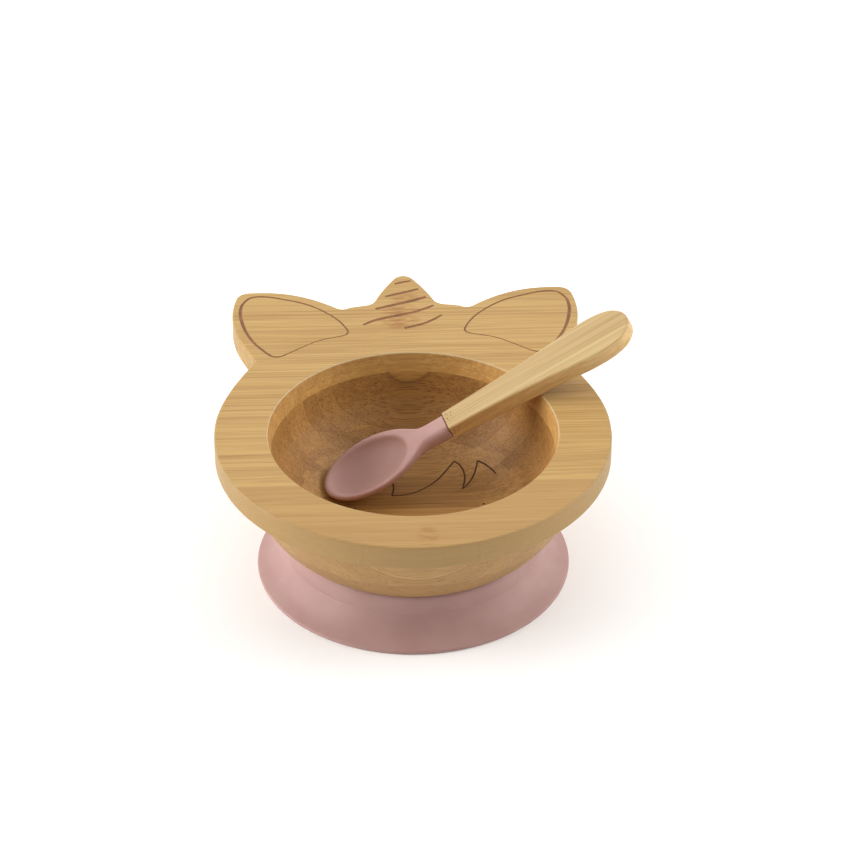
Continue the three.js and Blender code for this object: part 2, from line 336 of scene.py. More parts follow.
# ---- Shader helper ------------------------------------------------------------------------------
class Shader:
    """A material's node tree, built by short calls. A call returns a node's output socket."""

    def __init__(self, name):
        self.material = bpy.data.materials.new(name)
        self.material.use_nodes = True
        self.tree = self.material.node_tree
        self.surface = self.tree.nodes["Principled BSDF"]

    def node(self, kind, sockets, output=0, **settings):
        made = self.tree.nodes.new("ShaderNode" + kind)
        for key, value in settings.items():
            setattr(made, key, value)
        for key, value in sockets.items():
            self.feed(made.inputs[key], value)
        return made.outputs[output]

    def feed(self, socket, value):
        if isinstance(value, bpy.types.NodeSocket):
            self.tree.links.new(value, socket)
        else:
            socket.default_value = value

    def math(self, operation, a, b=0.0, c=0.0, clamp=False):
        return self.node("Math", {0: a, 1: b, 2: c}, operation=operation, use_clamp=clamp)

    def times(self, a, b):
        return self.math("MULTIPLY", a, b)

    def plus(self, a, b):
        return self.math("ADD", a, b)

    def minus(self, a, b):
        return self.math("SUBTRACT", a, b)

    def vector(self, operation, a, b=(0, 0, 0), c=(0, 0, 0), scale=1.0):
        return self.node("VectorMath", {0: a, 1: b, 2: c, 3: scale}, operation=operation)

    def millimetres(self, place):
        """Where a point is in the frame at place, a matrix in metres, as a vector in millimetres."""
        turn = place.to_euler("XYZ")
        coordinates = self.tree.nodes.new("ShaderNodeTexCoord").outputs["Object"]
        sockets = {"Vector": coordinates, "Location": place.translation, "Rotation": turn}
        local = self.node("Mapping", sockets, vector_type="TEXTURE")
        return self.vector("SCALE", local, scale=1 / MM)

    def facing(self, place):
        """The surface's direction in the frame at place."""
        direction = self.tree.nodes.new("ShaderNodeTexCoord").outputs["Normal"]
        sockets = {"Vector": direction, "Rotation": place.to_euler("XYZ")}
        return self.node("Mapping", sockets, vector_type="TEXTURE")

    def square(self, value):
        return self.times(value, value)

    def split(self, vector):
        made = self.tree.nodes.new("ShaderNodeSeparateXYZ")
        self.feed(made.inputs[0], vector)
        return made.outputs[0], made.outputs[1], made.outputs[2]

    def join(self, x, y, z):
        return self.node("CombineXYZ", {0: x, 1: y, 2: z})

    def noise(self, vector, detail=2.0, roughness=0.5, scale=1.0):
        sockets = {"Vector": vector, "Scale": scale, "Detail": detail, "Roughness": roughness}
        return self.node("TexNoise", sockets)

    def ramp(self, value, low, high, to_low=0.0, to_high=1.0, smooth=True):
        sockets = {"Value": value, "From Min": low, "From Max": high, "To Min": to_low, "To Max": to_high}
        return self.node("MapRange", sockets, interpolation_type="SMOOTHSTEP" if smooth else "LINEAR")

    def mix(self, share, a, b, blend="MIX"):
        made = self.tree.nodes.new("ShaderNodeMix")
        made.data_type = "RGBA"
        made.blend_type = blend
        for index, value in ((0, share), (6, a), (7, b)):
            self.feed(made.inputs[index], value)
        return made.outputs[2]

    def set(self, **values):
        for key, value in values.items():
            self.feed(self.surface.inputs[key.replace("_", " ")], value)

    def bump(self, height, distance, strength=1.0):
        sockets = {"Height": height, "Distance": distance * MM, "Strength": strength}
        self.set(Normal=self.node("Bump", sockets))


def srgb(red, green, blue):
    """A shader colour from 0-255 display values."""
    parts = [v / 255 for v in (red, green, blue)]
    linear = [v / 12.92 if v <= 0.04045 else ((v + 0.055) / 1.055) ** 2.4 for v in parts]
    return (*linear, 1.0)


def shade(colour, *factors):
    """The colour multiplied by one factor, or by one for each of red, green and blue."""
    factors = factors if len(factors) == 3 else factors * 3
    return (*(min(1.0, v * f) for v, f in zip(colour[:3], factors)), 1.0)


# ---- Bamboo -------------------------------------------------------------------------------------
MIDDLE = 0.58  # grain value of plain wood, where 0 is a board's dark colour and 1 its light one
BRIGHTER = 0.06
LIP_HIGHLIGHT = srgb(196, 174, 136)  # colour of the painted highlight on the mouth's rounded edge
# Features in a millimetre along and across the fibres, and each one's share in the grain value.
BROAD_SCALE, BROAD_SHARE = (0.005, 0.33, 0.33), 0.75
STREAK_SCALE, STREAK_SHARE = (0.006, 0.9, 0.9), 1.1
FINE_SCALE, FINE_SHARE = (0.013, 3.3, 3.3), 1.05
BUNDLE_ALONG, DOT_SHARE = 0.015, 0.30
BEND_SCALE, BEND = (0.016, 0.05, 0.05), 2.2  # how the fibres wander, and how far in millimetres
CULM_SHIFT = (173.0, 91.0, 67.0)  # brings another piece of culm to each strip
GLUE_CORE, GLUE_EDGE = 0.04, 0.22  # half-widths of a glue line, where it is full and where it ends
PALE_AT, PALE_HALF = 0.42, 0.28  # the pale rim beside it


class Bamboo(Shader):
    """Glued bamboo strips with their fibres along X. What follows is a plain board's look."""

    lane = 5.0  # width of the strips in Y
    start = 0.0  # shift of the strips, as a share of one
    widen = None  # (y, share) by which the strips beyond a y are wider
    plies = ()  # heights of the glue planes in Z
    lanes_differ = 0.3  # how far the strips' tones lie apart
    tones = {}  # given tones of single strips
    contrast = 1.0  # strength of the grain
    dotted = 1.0  # strength of the dots of cut fibres
    bundle = 2.2  # bundles of fibres in a millimetre
    patch = None  # (height, spread, tint) of the culm low in each strip
    knuckles = ()  # (x, y, half-length in x, half-length in y, depth) of each
    mottled = 0.42  # level of the noise at which a knuckle starts to show
    outside = (1, 1, 1)  # painted light and shade on what faces away from the axis, or on a bar's sides
    inside = (1, 1, 1)  # painted light and shade on what faces the axis; on a bar, the end grain's own tone at its end
    band = None  # (height, y, tint) of the lower ply inside, beyond a y
    lip = 0.0  # strength of the painted highlight on the mouth's rounded edge
    flat_bar = False  # the spoon's handle, which doesn't lie round the axis

    def __init__(self, name, seed, place, light, dark, **look):
        super().__init__(name)
        for key, value in look.items():
            setattr(self, key, value)
        self.seed = float(seed)
        self.light = light
        self.dark = dark
        self.place = self.millimetres(place)
        self.x, self.y, self.z = self.split(self.place)
        self.nx, self.ny, self.nz = self.split(self.facing(place))
        if not self.flat_bar:
            reach = self.math("SQRT", self.plus(self.square(self.x), self.square(self.y)))
            outward_x = self.times(self.nx, self.x)
            outward_y = self.times(self.ny, self.y)
            self.away = self.math("DIVIDE", self.plus(outward_x, outward_y), reach)
        self.cut_strips()
        self.lay_fibres()
        colour = self.grain()
        if self.patch:
            colour = self.pale_patch(colour)
        colour = self.glue_lines(colour)
        if self.knuckles:
            colour = self.with_knuckles(colour)
        colour = self.bar_tints(colour) if self.flat_bar else self.bowl_tints(colour)
        # painted highlight along the mouth's rounded edge
        if self.lip:
            colour = self.painted_lip_highlight(colour)
        self.set(Base_Color=colour, IOR=1.45)
        self.set(Roughness=self.ramp(self.streaks, 0.2, 0.8, 0.62, 0.46, smooth=False))
        relief = self.times(self.fine, 0.8)
        for hollow, depth in ((self.dots, 0.5), (self.glue, 0.9)):
            relief = self.minus(relief, self.times(hollow, depth))
        self.bump(relief, 0.05, 0.7)

    def tinted(self, colour, tint):
        return self.mix(1.0, colour, (*tint, 1.0), "MULTIPLY")

    def cut_strips(self):
        """A lane in Y and a ply in Z, each strip with its own tone and its own piece of culm."""
        ply = 0.0
        for height in self.plies:
            ply = self.plus(ply, self.math("GREATER_THAN", self.z, height))
        lane_y = self.y
        if self.widen:
            beyond_y, share = self.widen
            beyond = self.math("MAXIMUM", self.minus(self.y, beyond_y), 0.0)
            lane_y = self.math("MULTIPLY_ADD", beyond, -share, self.y)
        lanes = self.plus(self.math("DIVIDE", lane_y, self.lane), self.start)
        strip = self.math("FLOOR", lanes)
        self.across = self.minus(lanes, strip)
        cell = self.join(strip, self.times(ply, 7.0), self.seed)
        self.tone = self.node("TexWhiteNoise", {"Vector": cell}, noise_dimensions="3D")
        self.culm = self.node("TexWhiteNoise", {"Vector": cell}, output=1, noise_dimensions="3D")
        for number, given in self.tones.items():
            here = self.math("COMPARE", strip, float(number), 0.2)
            kept = self.times(self.tone, self.minus(1.0, here))
            self.tone = self.plus(kept, self.times(here, given))

    def lay_fibres(self):
        """Fibres wander a little, so that a cut shows long streaks and, across them, dots."""
        elsewhere = self.vector("MULTIPLY", self.culm, CULM_SHIFT)
        bend = self.noise(self.vector("MULTIPLY", self.place, BEND_SCALE), 1.0)
        wander = self.times(self.minus(bend, 0.5), BEND)
        wandering = self.join(self.x, self.plus(self.y, wander), self.plus(self.z, wander))
        fibre = self.vector("ADD", wandering, elsewhere)
        self.broad = self.noise(self.vector("MULTIPLY", fibre, BROAD_SCALE), 2.0)
        self.streaks = self.noise(self.vector("MULTIPLY", fibre, STREAK_SCALE), 2.0, 0.6)
        self.fine = self.noise(self.vector("MULTIPLY", fibre, FINE_SCALE), 2.0, 0.6)
        cells = self.vector("MULTIPLY", fibre, (BUNDLE_ALONG, self.bundle, self.bundle))
        self.bundles = self.node("TexVoronoi", {"Vector": cells, "Scale": 1.0}, feature="F1")
        denser = self.ramp(self.across, 0.0, 1.0, 0.6, 1.0)
        self.dots = self.times(self.ramp(self.bundles, 0.45, 0.10), denser)

    def grain(self):
        """The wood's colour from its tones, streaks and dots, calmer on a turned outside."""
        value = MIDDLE
        shares = [(self.tone, self.lanes_differ), (self.broad, BROAD_SHARE * self.contrast)]
        shares += [(self.streaks, STREAK_SHARE * self.contrast), (self.fine, FINE_SHARE * self.contrast)]
        for part, share in shares:
            value = self.math("MULTIPLY_ADD", self.minus(part, 0.5), share, value)
        value = self.math("MULTIPLY_ADD", self.dots, -DOT_SHARE * self.contrast * self.dotted, value)
        if not self.flat_bar:
            left = self.minus(1.0, self.ramp(self.away, 0.3, 0.7, 0.0, 0.7))
            value = self.math("MULTIPLY_ADD", self.minus(value, MIDDLE), left, MIDDLE)
        colour = self.mix(self.math("ADD", value, BRIGHTER, clamp=True), self.dark, self.light)
        if self.dotted > 1:
            strength = min(1.0, (self.dotted - 1) * 0.36)
            burrs = self.times(self.ramp(self.bundles, 0.40, 0.16), strength)
            colour = self.mix(burrs, colour, shade(self.dark, 0.58, 0.5, 0.38))
        return colour

    def pale_patch(self, colour):
        """Paler culm low in each strip, up to a different height in each."""
        low, spread, tint = self.patch
        top = self.math("MULTIPLY_ADD", self.split(self.culm)[1], spread, low)
        below = self.ramp(self.minus(top, self.z), -0.1, 0.1)
        here = self.times(below, self.ramp(self.away, 0.2, -0.2))
        return self.mix(here, colour, self.tinted(colour, tint))

    def glue_lines(self, colour):
        """A thin dark seam between two strips with a pale rim beside it."""
        nearest = self.math("MINIMUM", self.across, self.minus(1.0, self.across))
        seam = self.times(nearest, self.lane)
        strength = self.math("MULTIPLY_ADD", self.tone, 0.5, 0.1)
        glue = self.times(self.ramp(seam, GLUE_EDGE, GLUE_CORE), strength)
        self.glue = self.times(glue, min(1.0, 1.6 * self.lanes_differ))
        from_pale = self.math("ABSOLUTE", self.minus(seam, PALE_AT))
        beside = self.ramp(from_pale, PALE_HALF, 0.0)
        pale = self.times(beside, self.times(self.tone, 0.5 * self.lanes_differ))
        colour = self.mix(pale, colour, shade(self.light, 1.25))
        return self.mix(self.glue, colour, shade(self.dark, 0.6))

    def with_knuckles(self, colour):
        """Warm, mottled arcs across the fibres, where the culm had its joints."""
        knot = 0.0
        for at_x, at_y, wide, tall, depth in self.knuckles:
            dx = self.minus(self.x, at_x)
            dy = self.minus(self.y, at_y)
            far_x = self.square(self.math("DIVIDE", dx, wide))
            far = self.plus(far_x, self.square(self.math("DIVIDE", dy, tall)))
            arc_x = self.square(self.times(dx, 0.42))
            arc_y = self.square(self.minus(dy, 2.0 * tall))
            arcs = self.times(self.math("SQRT", self.plus(arc_x, arc_y)), 0.85)
            waves = self.noise(self.join(arcs, self.times(self.x, 0.16), self.seed), 3.0, 0.65)
            mottle = self.ramp(waves, self.mottled, self.mottled + 0.24)
            here = self.times(self.ramp(far, 1.2, 0.0, 0.0, depth), mottle)
            knot = self.math("MAXIMUM", knot, here)
        return self.mix(knot, colour, shade(self.dark, 1.0, 0.84, 0.6))

    def bar_tints(self, colour):
        # The sides get painted light and shade (outside tint); the end gets the end grain's own tone
        # (inside tint).
        side = self.ramp(self.math("ABSOLUTE", self.nz), 0.9, 0.45)
        colour = self.mix(side, colour, self.tinted(colour, self.outside))
        return self.mix(self.ramp(self.nx, 0.45, 0.9), colour, self.tinted(colour, self.inside))

    def bowl_tints(self, colour):
        # Painted light and shade: faces turned away from or towards the axis are tinted lighter or darker
        # for how they are lit.
        colour = self.mix(self.ramp(self.away, 0.3, 0.7), colour, self.tinted(colour, self.outside))
        within = self.tinted(colour, self.inside)
        if self.band:
            height, back_y, tint = self.band
            back = self.ramp(self.y, back_y - 0.3, back_y + 0.3)
            here = self.times(self.math("LESS_THAN", self.z, height), back)
            within = self.mix(here, within, self.tinted(colour, tint))
        return self.mix(self.ramp(self.away, -0.6, -0.9), colour, within)

    def painted_lip_highlight(self, colour):
        """Painted highlight on the rounded edge of the mouth: paler where it faces up and inwards, except
        at the front.
        """
        inwards = self.times(self.times(self.nz, self.away), -2.0)
        edge = self.square(self.math("MAXIMUM", inwards, 0.0))
        highlight_share = self.times(edge, self.ramp(self.y, -16.0, -2.0, 0.0, self.lip))
        return self.mix(highlight_share, colour, LIP_HIGHLIGHT)


# ---- Burnt lines and silicone -------------------------------------------------------------------
def burnt(name, seed, base, deep):
    """The scorched inside of an engraved line, lighter where the beam ran fast."""
    s = Shader(name)
    mm = s.millimetres(Matrix.Translation((seed * 0.013, 0, 0)))
    patch = s.noise(s.vector("MULTIPLY", mm, (0.35, 0.35, 0.35)), 3.0, 0.6)
    grit = s.noise(s.vector("MULTIPLY", mm, (1.2, 5.0, 5.0)), 3.0, 0.7)
    char = s.math("MULTIPLY_ADD", grit, 0.7, s.times(patch, 0.5))
    s.set(Base_Color=s.mix(s.ramp(char, 0.35, 0.85), deep, base), Roughness=0.85)
    s.bump(grit, 0.08, 0.8)
    return s.material


def silicone(name, seed, light, dark):
    """Soft matt silicone: faint clouding from handling, a fine moulded texture and a few specks."""
    smooth, rough = 0.52, 0.64
    s = Shader(name)
    mm = s.millimetres(Matrix.Translation((seed * 0.017, seed * 0.005, 0)))
    clouds = s.noise(s.vector("MULTIPLY", mm, (0.07, 0.07, 0.07)), 3.0, 0.55)
    grain = s.noise(s.vector("MULTIPLY", mm, (3.2, 3.2, 3.2)), 2.0, 0.6)
    colour = s.mix(s.ramp(clouds, 0.3, 0.7), dark, light)
    cells = s.vector("MULTIPLY", mm, (0.16, 0.16, 0.16))
    specks = s.node("TexVoronoi", {"Vector": cells, "Scale": 1.0})
    dust = s.ramp(specks, 0.035, 0.02, 0.0, 0.55)
    colour = s.mix(dust, colour, shade(dark, 0.45))
    wear = s.noise(s.vector("MULTIPLY", mm, (0.5, 0.5, 0.5)), 3.0, 0.7)
    s.set(Base_Color=colour, Roughness=s.ramp(wear, 0.3, 0.7, smooth, rough, smooth=False))
    s.set(IOR=1.42, Sheen_Weight=0.12, Sheen_Roughness=0.5)
    s.set(Subsurface_Weight=0.18, Subsurface_Radius=(1.0, 0.45, 0.35), Subsurface_Scale=0.0018)
    s.bump(grain, 0.02, 0.5)
    return s.material


# ---- Materials ----------------------------------------------------------------------------------
def spoon_place():
    """The spoon's frame in the row frame, in metres."""
    heading, pitch, roll = (math.radians(a) for a in SPOON_ANGLES)
    turn = Matrix.Rotation(heading, 4, "Z") @ Matrix.Rotation(-pitch, 4, "Y")
    turn = turn @ Matrix.Rotation(roll, 4, "X")
    return Matrix.Translation(AXIS + Vector(SPOON_JOINT) * MM) @ turn


BOWL = Matrix.Translation(AXIS)
RIM_PLIES = dict(plies=(51.0,), lanes_differ=0.12)
# The wall and the floor share one layout of strips.
TURNED = dict(
    lane=4.75,
    start=0.263,
    widen=(41.5, 0.4),
    tones={6: 0.8, 7: 0.15, 8: 0.5, 9: 0.2, 10: 1.35},
    bundle=2.3,
    # outside: painted light and shade on the turned outer faces
    outside=(1.0, 1.13, 1.5),
)


def bamboo_rim_rear():
    light, dark = srgb(179, 145, 84), srgb(141, 102, 48)
    horn_knuckles = [(-2.0, 72.0, 9.0, 6.0, 0.9), (-2.5, 80.0, 8.0, 6.0, 0.9), (0.0, 89.0, 6.0, 5.0, 0.8)]
    lower_ply = (51.0, 32.0, (1.42, 1.30, 1.18))
    # outside and inside: painted light and shade on the rim's outer side and inner wall; the band is the
    # lower ply's own lighter tone
    tints = dict(outside=(0.85, 0.89, 1.05), inside=(1.30, 1.18, 1.08), band=lower_ply)
    # lip sets the painted highlight on the mouth's rounded edge
    grain = dict(lane=5.2, start=0.4, contrast=1.2, knuckles=horn_knuckles, mottled=0.38, lip=0.8)
    return Bamboo("bamboo_rim_rear", 3, BOWL, light, dark, **RIM_PLIES, **grain, **tints).material


def bamboo_rim_front():
    light, dark = srgb(168, 132, 74), srgb(143, 106, 55)
    # outside and inside: painted light and shade on the rim's outer side and inner wall
    tints = dict(outside=(0.97, 1.02, 1.2), inside=(0.95, 0.92, 0.90))
    grain = dict(lane=14.0, start=0.8, knuckles=[(2.75, -63.0, 4.2, 7.0, 0.8)], mottled=0.40)
    return Bamboo("bamboo_rim_front", 11, BOWL, light, dark, **RIM_PLIES, **grain, **tints).material


def bamboo_wall():
    light, dark = srgb(182, 135, 72), srgb(134, 92, 42)
    return Bamboo("bamboo_wall", 5, BOWL, light, dark, **TURNED, lanes_differ=0.5, dotted=2.4).material


def bamboo_floor():
    light, dark = srgb(174, 128, 69), srgb(130, 89, 41)
    grain = dict(lanes_differ=0.4, dotted=2.2, patch=(25.5, 4.0, (1.24, 1.32, 1.40)))
    return Bamboo("bamboo_floor", 5, BOWL, light, dark, **TURNED, **grain).material


def bamboo_foot():
    light, dark = srgb(169, 134, 82), srgb(138, 103, 58)
    grain = dict(lane=6.0, start=0.2, plies=(13.5,), lanes_differ=0.2)
    return Bamboo("bamboo_foot", 2, BOWL, light, dark, **grain).material


def bamboo_handle():
    light, dark = srgb(191, 165, 116), srgb(158, 126, 78)
    # outside: painted light on the handle's sides; inside: the end grain's own tone
    tints = dict(outside=(1.31, 1.21, 1.12), inside=(0.9, 0.93, 0.98))
    grain = dict(lane=9.0, start=0.5, plies=(-3.4,), lanes_differ=0.1, flat_bar=True)
    return Bamboo("bamboo_handle", 6, spoon_place(), light, dark, **grain, **tints).material


MATERIALS = {
    "rear": bamboo_rim_rear(),
    "front": bamboo_rim_front(),
    "wall": bamboo_wall(),
    "floor": bamboo_floor(),
    "foot": bamboo_foot(),
    "handle": bamboo_handle(),
    "line": burnt("burnt_line", 1, srgb(148, 102, 62), srgb(102, 67, 40)),
    "floor_line": burnt("burnt_floor_line", 3, srgb(104, 68, 36), srgb(66, 42, 22)),
    "pore": burnt("dark_pore", 2, srgb(78, 56, 34), srgb(44, 30, 19)),
    "ring": silicone("silicone_ring", 1, srgb(169, 135, 128), srgb(164, 127, 121)),
    "spoon": silicone("silicone_spoon", 2, srgb(176, 137, 129), srgb(170, 131, 123)),
}


# ---- Rim ----------------------------------------------------------------------------------------
def rim_outline():
    """The rim seen from above, anticlockwise from the front."""
    forehead = [math.acos(x / FOREHEAD_RADIUS) for x in FOREHEAD_ENDS]
    from_x, to_x = FOREHEAD_ENDS
    spans = [
        arc(RIM_RADIUS, -math.pi / 2, 0, 68),
        bezier([(RIM_RADIUS, 0), (RIM_RADIUS, 8), (69.9, 21.6), NOTCH], 40),
        bezier([NOTCH, (58.8, 56.8), (64.2, 65), (64.3, 79)], 26),
        bezier([(64.3, 79), (64.3, 84.5), (63.3, 89.2)], 8),
        bezier([(63.3, 89.2), (62.6, 95), (57.5, 95.1)], 12),
        bezier([(57.5, 95.1), (46, 95.8), (36, 92.3), (25.2, 83)], 30),
        bezier([(25.2, 83), (23, 81.3), (from_x, math.sqrt(FOREHEAD_RADIUS**2 - from_x**2))], 6),
        arc(FOREHEAD_RADIUS, *forehead, 6),
        bezier([(to_x, math.sqrt(FOREHEAD_RADIUS**2 - to_x**2)), (12.2, 85.1), (11.1, 87.4)], 6),
        bezier([(11.1, 87.4), (8.2, 95.5), (3.6, 103)], 14),
        bezier([(3.6, 103), (2.2, 105.2), (0, 105.2)], 8),
    ]
    half = np.vstack([spans[0]] + [span[1:] for span in spans[1:]])
    mirrored = half[1:-1][::-1] * np.array([-1, 1])
    return np.vstack([half, mirrored])


def rim_plate():
    """Vertices and faces of the rim before it is divided into its two boards: loops of points that
    run over the top face, down the side, back along the underside and up the mouth."""
    outline = rim_outline()
    headings = np.arctan2(outline[:, 1], outline[:, 0])
    circle = np.column_stack([np.cos(headings), np.sin(headings)])
    loops = []

    def add(points, height):
        loops.append(np.column_stack([points, np.full(len(points), height)]))

    for back, drop in reversed(rounding(MOUTH_EDGE, 5)):
        add(circle * (MOUTH_RADIUS + back), RIM_TOP - drop)
    first = circle * (MOUTH_RADIUS + MOUTH_EDGE + BESIDE_EDGE)
    last = inset(outline, RIM_EDGE + 0.4)
    for share in (0, 0.2, 0.4, 0.6, 0.8, 1):
        add(first + (last - first) * share, RIM_TOP)
    for back, drop in rounding(RIM_EDGE, 6):
        add(inset(outline, back), RIM_TOP - drop)
    flat_side = RIM_EDGE + BESIDE_EDGE
    for height in (RIM_TOP - flat_side, (RIM_TOP + RIM_BOTTOM) / 2, RIM_BOTTOM + flat_side):
        add(outline, height)
    for back, drop in reversed(rounding(RIM_EDGE, 6)):
        add(inset(outline, back), RIM_BOTTOM + drop)
    seat_radius, seat_top = SEAT[1]
    low = circle * seat_radius
    for share in (0, 0.25, 0.5, 0.75, 1):
        add(last + (low - last) * share, RIM_BOTTOM)
    mouth_low, mouth_high = WALL_INSIDE[0][0], RIM_TOP - MOUTH_EDGE
    for share in (0, 0.5, 1):
        add(circle * (seat_radius + (mouth_low - seat_radius) * share), seat_top)
    for share in (0.05, 0.5, 0.95):
        radius = mouth_low + (MOUTH_RADIUS - mouth_low) * share
        add(circle * radius, seat_top + (mouth_high - seat_top) * share)
    return np.vstack(loops), quads(len(loops), len(outline))


# Points (x, y, weight) of the lines burnt into the rim. A line is the part of a bar below the top
# face: the bar's radius is the weight times a scale, and its middle lies above by a share of that.
EAR_SCALE, EAR_LIFT = 1.6, 0.6
HORN_SCALE, HORN_LIFT = 2.8, 0.75
EAR_LINE = [
    (-60.5, 86.5, 0.42), (-58.1, 90.6, 0.40), (-54.7, 91.8, 0.40), (-49.8, 91.2, 0.38), (-44.9, 89.4, 0.36),
    (-40.0, 87.5, 0.36), (-35.2, 84.7, 0.34), (-30.3, 80.5, 0.32), (-25.6, 75.0, 0.30), (-22.8, 69.9, 0.30),
    (-21.6, 66.2, 0.32), (-22.4, 64.0, 0.30), (-25.3, 62.8, 0.24), (-29.2, 61.6, 0.22), (-33.0, 60.0, 0.22),
    (-37.9, 56.6, 0.22), (-42.7, 52.8, 0.24), (-45.5, 50.7, 0.28), (-47.9, 49.9, 0.34), (-50.3, 51.1, 0.40),
    (-53.2, 55.0, 0.42), (-56.0, 59.5, 0.44), (-58.5, 65.5, 0.48), (-60.2, 71.8, 0.52), (-61.2, 78.3, 0.55),
    (-61.2, 82.8, 0.50),
]
HORN_LINES = [
    [(-3.2, 98.9, 0.30), (-0.4, 100.1, 0.34), (2.7, 101.0, 0.28)],
    [(-7.1, 90.1, 0.34), (-2.0, 92.0, 0.40), (5.4, 95.0, 0.34)],
    [(-10.9, 81.5, 0.34), (-4.8, 83.8, 0.44), (2.4, 86.5, 0.46), (8.0, 89.2, 0.40)],
    [(-15.8, 70.6, 0.26), (-11.3, 73.6, 0.40), (-5.7, 75.7, 0.46), (2.1, 78.3, 0.44), (6.9, 80.7, 0.40),
     (10.7, 83.2, 0.28)],
    [(-0.5, 67.7, 0.40), (6.5, 70.6, 0.36), (10.6, 73.6, 0.34), (13.5, 76.4, 0.26)],
]
# Points (x, y) of the line burnt into the bowl's floor, with its sharp turns.
FLOOR_LINES = [
    [(-9.2, 24.0), (-7.6, 21.6), (-6.7, 18.9), (-6.6, 15.4), (-7.3, 11.6)],
    [(-7.3, 11.6), (-3.2, 11.9), (1.7, 13.7), (6.8, 17.8), (11.2, 23.2), (14.1, 27.2), (16.1, 29.6)],
    [(16.1, 29.6), (18.3, 27.0), (19.5, 22.9), (19.3, 18.9), (18.4, 14.9)],
    [(18.4, 14.9), (21.0, 18.1), (23.0, 22.1), (24.5, 27.3)],
    [(24.5, 27.3), (26.6, 25.4), (28.9, 22.5), (30.7, 19.3)],
]
LINE_RADIUS, LINE_LIFT = 0.35, 0.13
FLOOR_PITS = [(25.5, 4.8, 0.5), (-21.0, 4.5, 0.42), (-23.4, 5.2, 0.25)]  # (x, y, radius)


def rim_groove(line, steps, scale, lift, **bar):
    """The bar that cuts one line, with steps points between two of the line's own."""
    path = spline(line, steps, closed=bar.get("closed", False))
    radii = path[:, 2] * scale
    points = np.column_stack([path[:, :2], RIM_TOP + lift * radii])
    return tube(points, radii, np.tile([0.0, 0.0, 1.0], (len(points), 1)), **bar)


def rim_grooves():
    parts = []
    for side in (1, -1):
        line = [(x * side, y, weight) for x, y, weight in EAR_LINE]
        parts.append(rim_groove(line, 6, EAR_SCALE, EAR_LIFT, closed=True))
    for line in HORN_LINES:
        parts.append(rim_groove(line, 8, HORN_SCALE, HORN_LIFT, sides=24))
    return merged(parts)


def cavity_slope(radius):
    step = 0.2
    return (cavity_height(radius + step) - cavity_height(radius - step)) / (2 * step)


def floor_grooves():
    """The bars that cut the line, each a little higher and thicker than the last, and three pits."""
    parts = []
    for number, line in enumerate(FLOOR_LINES):
        path = spline(line, 8)
        radii = np.hypot(path[:, 0], path[:, 1])
        heights = np.array([cavity_height(r) for r in radii])
        slopes = np.array([cavity_slope(r) for r in radii])
        tilts = -slopes[:, None] * path / radii[:, None]
        ups = unit(np.column_stack([tilts, np.ones(len(path))]))
        points = np.column_stack([path, heights]) + ups * (LINE_LIFT + 0.011 * number)
        parts.append(tube(points, np.full(len(path), LINE_RADIUS + 0.008 * number), ups))
    for x, y, radius in FLOOR_PITS:
        parts.append(ball((x, y, cavity_height(math.hypot(x, y)) + 0.1), radius))
    return parts


plate = make_object("rim_rear", *rim_plate())
front = new_object("rim_front", plate.data.copy())
keep_side(plate, RIM_JOINT_Y, above=True)
keep_side(front, RIM_JOINT_Y, above=False)
add_two_slots(plate)
join_or_cut(plate, "DIFFERENCE", *rim_grooves(), slot_of_faces=1)


def settle(piece):
    """Puts a piece made about the bowl's axis into the row frame."""
    piece.data.transform(Matrix.Translation(AXIS))
    return piece


rear_looks = [MATERIALS["rear"], MATERIALS["line"]]
finish_piece(settle(plate), rear_looks, "bowl", "rim_board_rear")
finish_piece(settle(front), [MATERIALS["front"]], "bowl", "rim_board_front")


# ---- Bowl ---------------------------------------------------------------------------------------
wall_profile = [*spline(WALL_OUTSIDE, 10), *SEAT, *spline(WALL_INSIDE, 12)]
wall = make_object("wall", *turned(wall_profile))
finish_piece(settle(wall), [MATERIALS["wall"]], "bowl", "wall_board")

floor_profile = [(0, FLOOR_BOTTOM), *spline(FLOOR_OUTSIDE, 8), *spline(FLOOR_INSIDE, 10), *FLOOR_FLAT]
base = make_object("bowl_floor", *turned(floor_profile))
add_two_slots(base)
for part in floor_grooves():
    join_or_cut(base, "DIFFERENCE", part[0], part[1], slot_of_faces=1)
floor_looks = [MATERIALS["floor"], MATERIALS["floor_line"]]
finish_piece(settle(base), floor_looks, "bowl", "floor_board")

foot_flat = RIM_EDGE + BESIDE_EDGE
foot_profile = [(0, FOOT_BOTTOM), (FOOT_RADIUS - foot_flat, FOOT_BOTTOM)]
foot_profile += [(FOOT_RADIUS - back, FOOT_BOTTOM + drop) for back, drop in rounding(RIM_EDGE, 5)]
foot_profile += [(FOOT_RADIUS, FOOT_BOTTOM + foot_flat), (FOOT_RADIUS, FLOOR_BOTTOM), (0, FLOOR_BOTTOM)]
foot = make_object("foot", *turned(foot_profile))
finish_piece(settle(foot), [MATERIALS["foot"]], "bowl", "foot_board")


